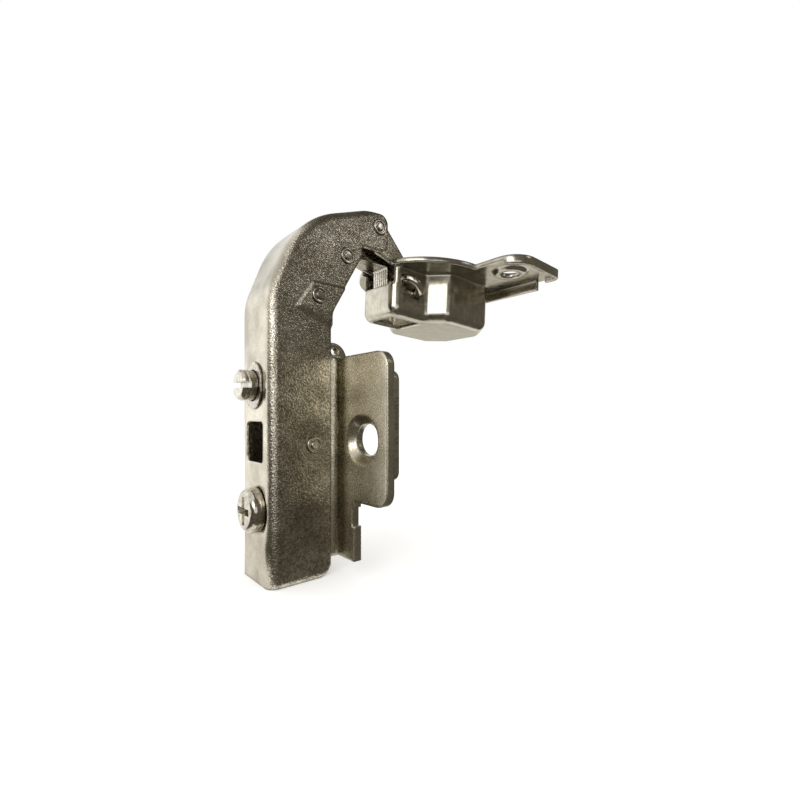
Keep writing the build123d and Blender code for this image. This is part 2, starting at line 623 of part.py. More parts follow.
def leaf(name, middle):
    """Make one leaf of the inner link, from the middle rivet over to the inner leg of the hairpin."""
    with BuildPart() as piece:
        with BuildSketch(SIDE.offset(-middle)):
            with BuildLine():
                FilletPolyline(
                    (MID_PIVOT[0], MID_PIVOT[1] + LEAF_EYE_RADIUS),
                    (MID_PIVOT[0] + LEAF_RISE_END, MID_PIVOT[1] + LEAF_TOP),
                    (INNER_PIN[0] - LEAF_CROWN, MID_PIVOT[1] + LEAF_TOP),
                    (INNER_PIN[0] - LEAF_NOSE, INNER_PIN[1] + LEAF_NECK_HEIGHT),
                    INNER_PIN,
                    (INNER_PIN[0] - LEAF_HOOK_RADIUS, INNER_PIN[1]),
                    (INNER_PIN[0] - LEAF_HOOK_RADIUS, MID_PIVOT[1] + LEAF_UNDERSIDE),
                    (MID_PIVOT[0] + LEAF_UNDER_END, MID_PIVOT[1] + LEAF_UNDERSIDE),
                    (MID_PIVOT[0] + LEAF_EYE_RADIUS / 2, MID_PIVOT[1] - LEAF_EYE_RADIUS / 2),
                    radius=LEAF_ROUND,
                    close=True,
                )
            make_face()
            with Locations(MID_PIVOT):
                Circle(LEAF_EYE_RADIUS)
            with Locations(INNER_PIN):
                Circle(LEAF_HOOK_RADIUS)
            with Locations(MID_PIVOT):
                Circle(PIVOT_TUBE, mode=Mode.SUBTRACT)
            with Locations(INNER_PIN):
                Circle(PIN_RADIUS + PIVOT_CLEARANCE, mode=Mode.SUBTRACT)
        extrude(amount=(LEAF_PITCH - LEAF_GAP) / 2, both=True)
    save(piece, name)


for number in range(LEAF_COUNT):
    leaf(f"inner_leaf_{number + 1}", (number - (LEAF_COUNT - 1) / 2) * LEAF_PITCH)

# Coil spring, hung on its rivet, one leg on the web and one under the inner link
coil_x = SPRING_PIVOT[0] + SPRING_RADIUS - SPRING_WIRE / 2 - RIVET_RADIUS - RIVET_FIT
coil_height = SPRING_TURNS * SPRING_PITCH
coil_plane = Plane(origin=(coil_x, coil_height / 2, SPRING_PIVOT[1]), x_dir=(0, 0, -1), z_dir=(0, -1, 0))
coil = coil_plane * Helix(SPRING_PITCH, coil_height, SPRING_RADIUS)
web_leg = coil_x - WEB_X - ARM_SHEET - SPRING_REST
with BuildPart() as spring:
    with BuildLine() as wire:
        Line(coil @ 0 - (coil % 0) * web_leg, coil @ 0)
        add(coil)
        Line(coil @ 1, coil @ 1 + (coil % 1) * SPRING_LEG)
    with BuildSketch(Plane(origin=wire.line @ 0, z_dir=wire.line % 0)):
        Circle(SPRING_WIRE / 2)
    sweep(path=wire.line)
save(spring, "spring")

# Cup: drawn body, flange with two wings, notch for the links
cup_plan = [
    (CUP_LEFT, CUP_NECK_WIDTH / 2),
    (CUP_SHOULDER_START, CUP_NECK_WIDTH / 2),
    (CUP_SHOULDER_END, CUP_BODY_WIDTH / 2),
    (CUP_BODY_END, CUP_BODY_WIDTH / 2),
    (CUP_RIGHT, CUP_TAIL_WIDTH / 2),
    (CUP_RIGHT, -CUP_TAIL_WIDTH / 2),
    (CUP_BODY_END, -CUP_BODY_WIDTH / 2),
    (CUP_SHOULDER_END, -CUP_BODY_WIDTH / 2),
    (CUP_SHOULDER_START, -CUP_NECK_WIDTH / 2),
    (CUP_LEFT, -CUP_NECK_WIDTH / 2),
]
with BuildPart() as cup_hollow:
    with BuildSketch(CUP_PLANE.offset(FLANGE_SHEET)):
        with BuildLine():
            FilletPolyline(*cup_plan, radius=CUP_CORNER, close=True)
        make_face()
        offset(amount=-CUP_SHEET)
    extrude(amount=-(FLANGE_SHEET + CUP_DEPTH - CUP_SHEET))
    fillet(cup_hollow.faces().sort_by(Axis.Z)[0].edges(), CUP_BOTTOM_RADIUS - CUP_SHEET)

flange_mid = (FLANGE_WING_START + FLANGE_WING_END) / 2
lip_start = math.sqrt(FLANGE_RADIUS**2 - FLANGE_WING_END**2)
with BuildSketch() as wings:
    with Locations((flange_mid, 0)):
        Rectangle(FLANGE_WING_END - FLANGE_WING_START, FLANGE_SPAN)
    fillet(wings.vertices().sort_by(Axis.X)[:2], FLANGE_BACK_CORNER)
    fillet(wings.vertices().sort_by(Axis.X)[-2:], FLANGE_CORNER)

with BuildPart() as cup:
    with BuildSketch(CUP_PLANE):
        with BuildLine():
            FilletPolyline(*cup_plan, radius=CUP_CORNER, close=True)
        make_face()
    extrude(amount=-CUP_DEPTH)
    fillet(cup.faces().sort_by(Axis.Z)[0].edges(), CUP_BOTTOM_RADIUS)
    with BuildSketch(CUP_PLANE):
        Circle(FLANGE_RADIUS)
        add(wings.sketch_local)
    extrude(amount=FLANGE_SHEET)
    with BuildSketch(CUP_PLANE):
        add(wings.sketch_local)
        offset(wings.sketch_local, amount=-FLANGE_LIP_SHEET, mode=Mode.SUBTRACT)
        with Locations((flange_mid, 0)):
            Rectangle(FLANGE_SPAN, 2 * FLANGE_RIM_START, mode=Mode.SUBTRACT)
    extrude(amount=-FLANGE_RIM)
    for end in (-1, 1):
        with BuildSketch(CUP_PLANE):
            lip_middle = end * (lip_start + FLANGE_LIP_END) / 2
            with Locations((FLANGE_WING_END - FLANGE_LIP_SHEET / 2, lip_middle)):
                Rectangle(FLANGE_LIP_SHEET, FLANGE_LIP_END - lip_start)
        extrude(amount=-FLANGE_LIP)
        with BuildSketch(CUP_PLANE):
            with Locations((FLANGE_SCREW_OFFSET, end * FLANGE_SCREW_SPACING / 2)):
                Circle(FLANGE_DIMPLE_RADIUS)
        extrude(amount=-FLANGE_DIMPLE_DEPTH, taper=FLANGE_DIMPLE_TAPER)
        with BuildSketch(CUP_PLANE.offset(FLANGE_SHEET)):
            with Locations((FLANGE_SCREW_OFFSET, end * FLANGE_SCREW_SPACING / 2)):
                Circle(FLANGE_DIMPLE_RADIUS)
        extrude(amount=-FLANGE_DIMPLE_DEPTH, taper=FLANGE_DIMPLE_TAPER, mode=Mode.SUBTRACT)
        with BuildSketch(CUP_PLANE.offset(FLANGE_SHEET)):
            with Locations((FLANGE_SCREW_OFFSET, end * FLANGE_SCREW_SPACING / 2)):
                Circle(FLANGE_HOLE_RADIUS)
        extrude(amount=-2 * FLANGE_SHEET, mode=Mode.SUBTRACT)
    add(cup_hollow.part, mode=Mode.SUBTRACT)
    with BuildSketch(CUP_PLANE.offset(FLANGE_SHEET)):
        with Locations((CUP_LEFT, 0)):
            Rectangle(2 * (FLANGE_RADIUS + CUP_LEFT + CUP_SHEET), CUP_NOTCH_WIDTH)
    extrude(amount=-(FLANGE_SHEET + CUP_NOTCH_DEPTH), mode=Mode.SUBTRACT)
    with BuildSketch(CUP_PLANE.offset(-CUP_DEPTH)):
        with Locations((CUP_WINDOW_START + CUP_WINDOW_LENGTH / 2, 0)):
            RectangleRounded(CUP_WINDOW_LENGTH, CUP_WINDOW_WIDTH, CUP_SHEET)
    extrude(amount=2 * CUP_SHEET, mode=Mode.SUBTRACT)
    with BuildSketch(SIDE):
        with Locations(INNER_PIN, OUTER_PIN):
            Circle(PIN_RADIUS + RIVET_FIT)
    extrude(amount=CUP_NECK_WIDTH, both=True, mode=Mode.SUBTRACT)
save(cup, "cup")

# Hairpin: bent wire, its bend outside the near wall of the cup
pin_span = math.dist(INNER_PIN, OUTER_PIN)
pin_step = Vector(OUTER_PIN[0] - INNER_PIN[0], 0, OUTER_PIN[1] - INNER_PIN[1])
pin_normal = pin_step.cross(Vector(0, 1, 0))
pin_plane = Plane(origin=(INNER_PIN[0], 0, INNER_PIN[1]), x_dir=pin_step, z_dir=pin_normal)
leg_end = CUP_NECK_WIDTH / 2 + PIN_END_PROUD
bend_start = -CUP_NECK_WIDTH / 2 - PIN_BEND_GAP
with BuildPart() as hairpin:
    with BuildLine(pin_plane) as wire:
        Line((0, leg_end), (0, bend_start))
        ThreePointArc((0, bend_start), (pin_span / 2, bend_start - pin_span / 2), (pin_span, bend_start))
        Line((pin_span, bend_start), (pin_span, leg_end))
    with BuildSketch(Plane(origin=wire.line @ 0, z_dir=wire.line % 0)):
        Circle(PIN_RADIUS)
    sweep(path=wire.line)
save(hairpin, "hairpin")
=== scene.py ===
import math

import bmesh
import bpy
from mathutils import Matrix, Vector


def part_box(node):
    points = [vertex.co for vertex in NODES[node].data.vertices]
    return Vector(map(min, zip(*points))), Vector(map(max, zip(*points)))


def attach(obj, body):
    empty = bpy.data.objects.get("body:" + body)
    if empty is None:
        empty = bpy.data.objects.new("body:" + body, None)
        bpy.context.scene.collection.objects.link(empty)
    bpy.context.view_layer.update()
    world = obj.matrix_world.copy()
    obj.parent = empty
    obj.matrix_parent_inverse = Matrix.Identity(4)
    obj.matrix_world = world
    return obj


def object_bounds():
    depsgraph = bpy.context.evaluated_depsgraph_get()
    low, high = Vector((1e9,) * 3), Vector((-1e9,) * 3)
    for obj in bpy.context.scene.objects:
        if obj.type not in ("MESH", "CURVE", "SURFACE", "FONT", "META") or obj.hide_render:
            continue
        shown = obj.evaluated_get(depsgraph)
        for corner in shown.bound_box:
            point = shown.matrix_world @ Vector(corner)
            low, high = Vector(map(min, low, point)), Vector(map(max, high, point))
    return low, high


bl_info = {
    "name": "Corner Cabinet Hinge",
    "version": (1, 0, 0),
    "blender": (4, 5, 0),
    "location": "View3D > Sidebar > Hinge",
    "description": "Dresses the concealed corner hinge: nickel-plated sheet, links, screws and its studio stage",
    "category": "Object",
}

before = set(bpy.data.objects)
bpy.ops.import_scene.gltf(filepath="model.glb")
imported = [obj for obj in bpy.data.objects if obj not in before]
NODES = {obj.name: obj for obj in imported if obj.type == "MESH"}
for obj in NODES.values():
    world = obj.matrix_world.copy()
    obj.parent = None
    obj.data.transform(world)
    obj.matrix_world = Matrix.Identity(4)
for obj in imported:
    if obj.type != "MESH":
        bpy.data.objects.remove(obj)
CAD_BOX = [list(corner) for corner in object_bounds()]
MM = 0.001

# Colour sockets of the Mix node, by number because its other kinds share their names
MIX_FACTOR, MIX_A, MIX_B, MIX_RESULT = 0, 6, 7, 2

WELD_REACH = 0.0005 * MM
EDGE_ANGLE = math.radians(35)
THREAD_STEPS_PER_TURN = 48
THREAD_SUNK = 0.02 * MM
FLOOR_GAP = 0.05 * MM
FLOOR_GLOW = 0.3
FILL_STRENGTH = 1.4

LEAVES = sorted(name for name in NODES if name.startswith("inner_leaf_"))
RIVETS = sorted(name for name in NODES if name.endswith("_rivet"))


def srgb(hex_value):
    """Turn an sRGB hex colour such as #c8c3b7 into linear RGBA."""
    channels = [int(hex_value[i:i + 2], 16) / 255 for i in (1, 3, 5)]
    linear = [c / 12.92 if c <= 0.04045 else ((c + 0.055) / 1.055) ** 2.4 for c in channels]
    return (*linear, 1.0)


def add_node(tree, kind, feeds=None, **settings):
    """Add one node with its settings; feeds gives each input, by name or number, a socket or a plain value."""
    node = tree.nodes.new(kind)
    for name, value in settings.items():
        setattr(node, name, value)
    for key, value in (feeds or {}).items():
        if isinstance(value, bpy.types.NodeSocket):
            tree.links.new(value, node.inputs[key])
        else:
            node.inputs[key].default_value = value
    return node


def start_material(name):
    """Make an empty node material and return it with its node tree."""
    material = bpy.data.materials.new(name)
    material.use_nodes = True
    material.node_tree.nodes.clear()
    return material, material.node_tree


def blend_tones(tree, pattern, low, high, dark, light):
    """Turn a pattern into a colour: dark where it is at or below low, light where it is at or above high."""
    spread = add_node(
        tree, "ShaderNodeMapRange", {"Value": pattern, "From Min": low, "From Max": high}
    ).outputs["Result"]
    return add_node(
        tree, "ShaderNodeMix", {MIX_FACTOR: spread, MIX_A: dark, MIX_B: light}, data_type="RGBA"
    ).outputs[MIX_RESULT]


def rub_and_highlight_edges(tree, color, tone, radius):
    """Brighten edges, partly as wear and partly as a painted highlight; returns the new colour and a normal rolling
    over them.
    """
    rounded = add_node(tree, "ShaderNodeBevel", {"Radius": radius}, samples=8).outputs["Normal"]
    flat = add_node(tree, "ShaderNodeNewGeometry").outputs["Normal"]
    facing = add_node(
        tree, "ShaderNodeVectorMath", {0: rounded, 1: flat}, operation="DOT_PRODUCT"
    ).outputs["Value"]
    # Edge mask: the brightening is partly wear and partly a painted highlight.
    edge_rub_and_highlight = add_node(
        tree, "ShaderNodeMapRange",
        {"Value": facing, "From Min": 0.96, "From Max": 0.75, "To Min": 0.0, "To Max": 0.6},
    ).outputs["Result"]
    worn_and_highlit = add_node(
        tree, "ShaderNodeMix", {MIX_FACTOR: edge_rub_and_highlight, MIX_A: color, MIX_B: tone}, data_type="RGBA"
    ).outputs[MIX_RESULT]
    return worn_and_highlit, rounded


def paint_gap_shade(tree, color, reach):
    """Darken a colour with painted shade in slots, under heads and between pieces."""
    # Painted shade: occlusion by nearby surfaces darkens the colour itself.
    open_sky = add_node(tree, "ShaderNodeAmbientOcclusion", {"Distance": reach}, samples=8).outputs["AO"]
    shade = add_node(
        tree, "ShaderNodeMapRange",
        {"Value": open_sky, "From Min": 0.3, "From Max": 0.85, "To Min": 0.3, "To Max": 1.0},
    ).outputs["Result"]
    return add_node(
        tree, "ShaderNodeMix", {MIX_FACTOR: 1.0, MIX_A: color, MIX_B: shade}, data_type="RGBA",
        blend_type="MULTIPLY",
    ).outputs[MIX_RESULT]


def close_metal(tree, color, roughness, normal):
    """End a bare metal's node tree with its shader and output."""
    metal = add_node(
        tree, "ShaderNodeBsdfPrincipled",
        {"Base Color": color, "Roughness": roughness, "Normal": normal, "Metallic": 1.0},
    ).outputs["BSDF"]
    add_node(tree, "ShaderNodeOutputMaterial", {"Surface": metal})


def tumbled_nickel(name, light, dark, grain, speck, roughness, relief):
    """Nickel plating over barrel-tumbled sheet steel, as on the arm, the outer link and the wing plate.

    The cheeks keep a pebbled grain that glints, while faces across the pins are burnished by the bending tool.
    Both show random short scratches and clouds where the bath lay thicker; edges are brightened, partly worn and
    partly a painted highlight. The grain is drawn a little coarser than the real one so that it shows.
    """
    material, tree = start_material(name)
    coordinates = add_node(tree, "ShaderNodeTexCoord").outputs
    place = coordinates["Object"]
    sideways = add_node(
        tree, "ShaderNodeVectorMath", {0: coordinates["Normal"], 1: (0, 1, 0)}, operation="DOT_PRODUCT"
    ).outputs["Value"]
    cheek = add_node(tree, "ShaderNodeMath", {0: sideways}, operation="ABSOLUTE").outputs["Value"]
    matt = add_node(
        tree, "ShaderNodeMapRange",
        {"Value": cheek, "From Min": 0.25, "From Max": 0.8, "To Min": 0.1, "To Max": 1.0},
    ).outputs["Result"]
    pebble = add_node(
        tree, "ShaderNodeTexNoise", {"Vector": place, "Scale": 1 / grain, "Detail": 2.0, "Roughness": 0.55}
    ).outputs["Fac"]
    cloud = add_node(
        tree, "ShaderNodeTexNoise", {"Vector": place, "Scale": 1 / (8 * MM), "Detail": 4.0, "Roughness": 0.55}
    ).outputs["Fac"]
    tone = blend_tones(tree, cloud, 0.36, 0.62, dark, light)
    glint = add_node(
        tree, "ShaderNodeMapRange",
        {"Value": pebble, "From Min": 0.38, "From Max": 0.66, "To Min": 1 - speck, "To Max": 1 + speck / 2},
    ).outputs["Result"]
    grained = add_node(
        tree, "ShaderNodeMix", {MIX_FACTOR: matt, MIX_A: tone, MIX_B: glint}, data_type="RGBA",
        blend_type="MULTIPLY",
    ).outputs[MIX_RESULT]
    turned = add_node(
        tree, "ShaderNodeMapping",
        {"Vector": place, "Rotation": (0.5, 0.8, 0.3), "Scale": (1 / (0.25 * MM), 1 / (0.25 * MM), 1 / (5 * MM))},
    ).outputs["Vector"]
    streak = add_node(tree, "ShaderNodeTexNoise", {"Vector": turned, "Scale": 1.0, "Detail": 1.0}).outputs["Fac"]
    scratch = add_node(
        tree, "ShaderNodeMapRange",
        {"Value": streak, "From Min": 0.70, "From Max": 0.76, "To Min": 0.0, "To Max": 0.5},
    ).outputs["Result"]
    # Pale tone for the scratches, and for the edges, where it is partly a painted highlight.
    bare_and_highlight = srgb("#e6dfd0")
    marked = add_node(
        tree, "ShaderNodeMix", {MIX_FACTOR: scratch, MIX_A: grained, MIX_B: bare_and_highlight}, data_type="RGBA"
    ).outputs[MIX_RESULT]
    # Edges brightened, partly worn and partly a painted highlight.
    worn_and_highlit, rounded = rub_and_highlight_edges(tree, marked, bare_and_highlight, 0.8 * MM)
    # Painted shade in gaps and under heads.
    color = paint_gap_shade(tree, worn_and_highlit, 0.8 * MM)
    gloss = add_node(
        tree, "ShaderNodeMapRange",
        {"Value": pebble, "From Min": 0.3, "From Max": 0.7, "To Min": roughness + 0.07, "To Max": roughness - 0.07},
    ).outputs["Result"]
    height = add_node(tree, "ShaderNodeMath", {0: pebble, 1: matt}, operation="MULTIPLY").outputs["Value"]
    bump = add_node(
        tree, "ShaderNodeBump", {"Height": height, "Normal": rounded, "Strength": relief, "Distance": 0.2 * MM}
    ).outputs["Normal"]
    close_metal(tree, color, gloss, bump)
    return material


def drawn_nickel(name, light, dark, roughness):
    """Bright nickel over deep-drawn steel, as on the cup.

    The die leaves the wall smooth, with faint draw lines down the sides, a soft mottle on the flats and a satin
    sheen. The lines are drawn wider than the real ones so that they show.
    """
    material, tree = start_material(name)
    place = add_node(tree, "ShaderNodeTexCoord").outputs["Object"]
    along = add_node(
        tree, "ShaderNodeMapping",
        {"Vector": place, "Scale": (1 / (0.35 * MM), 1 / (0.35 * MM), 1 / (7 * MM))},
    ).outputs["Vector"]
    line = add_node(tree, "ShaderNodeTexNoise", {"Vector": along, "Scale": 1.0, "Detail": 2.0}).outputs["Fac"]
    mottle = add_node(
        tree, "ShaderNodeTexNoise", {"Vector": place, "Scale": 1 / (2.2 * MM), "Detail": 4.0, "Roughness": 0.6}
    ).outputs["Fac"]
    tone = blend_tones(tree, mottle, 0.35, 0.65, dark, light)
    shade = add_node(
        tree, "ShaderNodeMapRange",
        {"Value": line, "From Min": 0.3, "From Max": 0.6, "To Min": 0.84, "To Max": 1.0},
    ).outputs["Result"]
    lined = add_node(
        tree, "ShaderNodeMix", {MIX_FACTOR: 1.0, MIX_A: tone, MIX_B: shade}, data_type="RGBA",
        blend_type="MULTIPLY",
    ).outputs[MIX_RESULT]
    # Edges brightened, partly worn and partly a painted highlight.
    worn_and_highlit, rounded = rub_and_highlight_edges(tree, lined, srgb("#e4e0d4"), 1.0 * MM)
    # Painted shade in gaps and under heads.
    color = paint_gap_shade(tree, worn_and_highlit, 0.8 * MM)
    gloss = add_node(
        tree, "ShaderNodeMapRange",
        {"Value": mottle, "From Min": 0.3, "From Max": 0.7, "To Min": roughness - 0.04, "To Max": roughness + 0.06},
    ).outputs["Result"]
    bump = add_node(
        tree, "ShaderNodeBump", {"Height": line, "Normal": rounded, "Strength": 0.06, "Distance": 0.05 * MM}
    ).outputs["Normal"]
    close_metal(tree, color, gloss, bump)
    return material


def sheared_steel(name, light, dark, roughness, relief):
    """Nickel-plated strip cut by a press tool, as on the leaves, the backing plate and the clamp nut.

    The cut edge is burnished near the punch and torn beyond it, which leaves fine upright striations that break
    the light into dark and pale lines.
    """
    material, tree = start_material(name)
    place = add_node(tree, "ShaderNodeTexCoord").outputs["Object"]
    across = add_node(
        tree, "ShaderNodeMapping",
        {"Vector": place, "Scale": (1 / (1.6 * MM), 1 / (0.6 * MM), 1 / (0.5 * MM))},
    ).outputs["Vector"]
    tear = add_node(tree, "ShaderNodeTexNoise", {"Vector": across, "Scale": 1.0, "Detail": 3.0}).outputs["Fac"]
    tone = blend_tones(tree, tear, 0.36, 0.62, dark, light)
    # Painted shade in gaps and under heads.
    color = paint_gap_shade(tree, tone, 0.5 * MM)
    gloss = add_node(
        tree, "ShaderNodeMapRange",
        {"Value": tear, "From Min": 0.3, "From Max": 0.7, "To Min": roughness + 0.1, "To Max": roughness - 0.05},
    ).outputs["Result"]
    bump = add_node(
        tree, "ShaderNodeBump", {"Height": tear, "Strength": relief, "Distance": 0.08 * MM}
    ).outputs["Normal"]
    close_metal(tree, color, gloss, bump)
    return material


def turned_steel(name, light, dark, axis_turn, centre, roughness):
    """Bright plated bar steel, turned or headed, as on the screws and the rivets.

    The tool leaves fine rings round the axis, and handling leaves specks. The rings lie about the piece's own
    axis: the mapping turns it upright and moves it to the origin of the pattern.
    """
    material, tree = start_material(name)
    place = add_node(tree, "ShaderNodeTexCoord").outputs["Object"]
    moved = add_node(tree, "ShaderNodeVectorMath", {0: place, 1: centre}, operation="SUBTRACT").outputs["Vector"]
    upright = add_node(tree, "ShaderNodeMapping", {"Vector": moved, "Rotation": axis_turn}).outputs["Vector"]
    ring = add_node(
        tree, "ShaderNodeTexWave",
        {"Vector": upright, "Scale": 1 / (12 * MM), "Distortion": 1.5, "Detail": 2.0, "Detail Scale": 3.0},
        wave_type="RINGS", rings_direction="Z",
    ).outputs["Fac"]
    speck = add_node(
        tree, "ShaderNodeTexNoise", {"Vector": place, "Scale": 1 / (0.7 * MM), "Detail": 4.0}
    ).outputs["Fac"]
    tone = blend_tones(tree, speck, 0.35, 0.6, dark, light)
    shade = add_node(tree, "ShaderNodeMapRange", {"Value": ring, "To Min": 0.8, "To Max": 1.0}).outputs["Result"]
    ringed = add_node(
        tree, "ShaderNodeMix", {MIX_FACTOR: 1.0, MIX_A: tone, MIX_B: shade}, data_type="RGBA",
        blend_type="MULTIPLY",
    ).outputs[MIX_RESULT]
    # Painted shade in gaps and under heads.
    color = paint_gap_shade(tree, ringed, 0.9 * MM)
    gloss = add_node(
        tree, "ShaderNodeMapRange", {"Value": speck, "To Min": roughness - 0.05, "To Max": roughness + 0.1}
    ).outputs["Result"]
    bump = add_node(
        tree, "ShaderNodeBump", {"Height": ring, "Strength": 0.12, "Distance": 0.04 * MM}
    ).outputs["Normal"]
    close_metal(tree, color, gloss, bump)
    return material


def oiled_wire(name, light, dark, roughness):
    """Hard-drawn spring wire with a film of oil, dark and streaked along the turns by the drawing die."""
    material, tree = start_material(name)
    place = add_node(tree, "ShaderNodeTexCoord").outputs["Object"]
    streaked = add_node(
        tree, "ShaderNodeMapping", {"Vector": place, "Scale": (1 / (2 * MM), 1 / (0.3 * MM), 1 / (2 * MM))}
    ).outputs["Vector"]
    streak = add_node(tree, "ShaderNodeTexNoise", {"Vector": streaked, "Scale": 1.0, "Detail": 3.0}).outputs["Fac"]
    tone = blend_tones(tree, streak, 0.35, 0.65, dark, light)
    # Painted shade in gaps and under heads.
    color = paint_gap_shade(tree, tone, 0.8 * MM)
    gloss = add_node(
        tree, "ShaderNodeMapRange", {"Value": streak, "To Min": roughness - 0.05, "To Max": roughness + 0.12}
    ).outputs["Result"]
    bump = add_node(
        tree, "ShaderNodeBump", {"Height": streak, "Strength": 0.15, "Distance": 0.05 * MM}
    ).outputs["Normal"]
    close_metal(tree, color, gloss, bump)
    return material


def dress(names, material, rounding):
    """Give CAD nodes a material, smooth shading on their round walls and a hair of edge rounding."""
    for name in names:
        node = NODES[name]
        node.data.materials.clear()
        node.data.materials.append(material)
        weld = node.modifiers.new("weld", "WELD")
        weld.merge_threshold = WELD_REACH
        edge = node.modifiers.new("edge", "BEVEL")
        edge.limit_method = "ANGLE"
        edge.angle_limit = EDGE_ANGLE
        edge.width = rounding
        edge.segments = 2
        edge.use_clamp_overlap = True
        flat = node.modifiers.new("flat", "WEIGHTED_NORMAL")
        flat.mode = "FACE_AREA"
        flat.weight = 100
        node.data.polygons.foreach_set("use_smooth", [True] * len(node.data.polygons))


def box_centre(name):
    """Middle of a CAD node's box, in metres."""
    low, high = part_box(name)
    return (Vector(low) + Vector(high)) / 2


class HingeSizes(bpy.types.PropertyGroup):
    """Sizes of the finish and of the thread."""

    edge_rounding: bpy.props.FloatProperty(
        name="Edge Rounding", description="Rounding of the tumbled edges", default=0.12 * MM, unit="LENGTH"
    )
    leaf_rounding: bpy.props.FloatProperty(
        name="Leaf Rounding", description="Rounding of the leaves' stamped edges", default=0.14 * MM, unit="LENGTH"
    )
    arm_grain: bpy.props.FloatProperty(
        name="Arm Grain", description="Size of the arm's tumbled grain", default=0.36 * MM, unit="LENGTH"
    )
    plate_grain: bpy.props.FloatProperty(
        name="Plate Grain", description="Size of the plates' tumbled grain", default=0.4 * MM, unit="LENGTH"
    )
    thread_pitch: bpy.props.FloatProperty(
        name="Thread Pitch", description="Pitch of the adjusting screw's thread", default=0.9 * MM, unit="LENGTH"
    )
    thread_height: bpy.props.FloatProperty(
        name="Thread Height", description="Height of the thread's crest above the stud", default=0.13 * MM,
        unit="LENGTH",
    )
    thread_room: bpy.props.FloatProperty(
        name="Thread Room", description="Bare length before the bush, into which the screw moves as the arm tilts",
        default=0.7 * MM, unit="LENGTH",
    )
    slot_width: bpy.props.FloatProperty(
        name="Slot Width", description="Width of the adjusting screw's driver slot", default=1.3 * MM, unit="LENGTH"
    )
    slot_depth: bpy.props.FloatProperty(
        name="Slot Depth", description="Depth of the adjusting screw's driver slot", default=1.7 * MM, unit="LENGTH"
    )


class HingeColours(bpy.types.PropertyGroup):
    """Pale and deep tones of each finish."""

    arm_light: bpy.props.FloatVectorProperty(
        name="Arm Light", description="Pale tone of the arm", subtype="COLOR", size=4, default=srgb("#d6cfbf")
    )
    arm_dark: bpy.props.FloatVectorProperty(
        name="Arm Dark", description="Deep tone of the arm", subtype="COLOR", size=4, default=srgb("#aaa290")
    )
    cup_light: bpy.props.FloatVectorProperty(
        name="Cup Light", description="Pale tone of the cup", subtype="COLOR", size=4, default=srgb("#cbc6b8")
    )
    cup_dark: bpy.props.FloatVectorProperty(
        name="Cup Dark", description="Deep tone of the cup", subtype="COLOR", size=4, default=srgb("#b4af9f")
    )
    plate_light: bpy.props.FloatVectorProperty(
        name="Plate Light", description="Pale tone of the plate", subtype="COLOR", size=4, default=srgb("#d9d3c0")
    )
    plate_dark: bpy.props.FloatVectorProperty(
        name="Plate Dark", description="Deep tone of the plate", subtype="COLOR", size=4, default=srgb("#bdb6a2")
    )
    strip_light: bpy.props.FloatVectorProperty(
        name="Strip Light", description="Burnished tone of the cut edges", subtype="COLOR", size=4,
        default=srgb("#cbc6b9"),
    )
    strip_dark: bpy.props.FloatVectorProperty(
        name="Strip Dark", description="Torn tone of the cut edges", subtype="COLOR", size=4,
        default=srgb("#a49e90"),
    )
    leaf_light: bpy.props.FloatVectorProperty(
        name="Leaf Light", description="Pale tone of the leaves", subtype="COLOR", size=4, default=srgb("#cfcabd")
    )
    leaf_dark: bpy.props.FloatVectorProperty(
        name="Leaf Dark", description="Deep tone of the leaves", subtype="COLOR", size=4, default=srgb("#aaa497")
    )
    screw_light: bpy.props.FloatVectorProperty(
        name="Screw Light", description="Pale tone of the screws and rivets", subtype="COLOR", size=4,
        default=srgb("#dcd6c8"),
    )
    screw_dark: bpy.props.FloatVectorProperty(
        name="Screw Dark", description="Deep tone of the screws and rivets", subtype="COLOR", size=4,
        default=srgb("#b5ae9f"),
    )
    wire_light: bpy.props.FloatVectorProperty(
        name="Wire Light", description="Pale tone of the spring wire", subtype="COLOR", size=4,
        default=srgb("#7b7467"),
    )
    wire_dark: bpy.props.FloatVectorProperty(
        name="Wire Dark", description="Deep tone of the spring wire", subtype="COLOR", size=4,
        default=srgb("#4d483f"),
    )


class HINGE_OT_arm(bpy.types.Operator):
    """Give the folded arm its tumbled nickel"""

    bl_idname = "hinge.arm"
    bl_label = "Dress Arm"

    def execute(self, context):
        sizes = context.scene.hinge_sizes
        tones = context.scene.hinge_colours
        finish = tumbled_nickel(
            "Tumbled Nickel Arm", tones.arm_light, tones.arm_dark, sizes.arm_grain, speck=0.5, roughness=0.22,
            relief=0.6,
        )
        dress(["arm"], finish, sizes.edge_rounding)
        return {"FINISHED"}


class HINGE_OT_plate(bpy.types.Operator):
    """Give the wing plate, its backing and the clamp nut their finish"""

    bl_idname = "hinge.plate"
    bl_label = "Dress Plate"

    def execute(self, context):
        sizes = context.scene.hinge_sizes
        tones = context.scene.hinge_colours
        finish = tumbled_nickel(
            "Satin Nickel Plate", tones.plate_light, tones.plate_dark, sizes.plate_grain, speck=0.2, roughness=0.28,
            relief=0.12,
        )
        strip = sheared_steel(
            "Sheared Strip Steel", tones.strip_light, tones.strip_dark, roughness=0.3, relief=0.08
        )
        dress(["wing_plate"], finish, sizes.edge_rounding)
        dress(["backing_plate", "clamp_nut"], strip, sizes.edge_rounding)
        return {"FINISHED"}


class HINGE_OT_cup(bpy.types.Operator):
    """Give the drawn cup its bright nickel"""

    bl_idname = "hinge.cup"
    bl_label = "Dress Cup"

    def execute(self, context):
        tones = context.scene.hinge_colours
        finish = drawn_nickel("Drawn Nickel Cup", tones.cup_light, tones.cup_dark, roughness=0.2)
        dress(["cup"], finish, context.scene.hinge_sizes.edge_rounding)
        return {"FINISHED"}


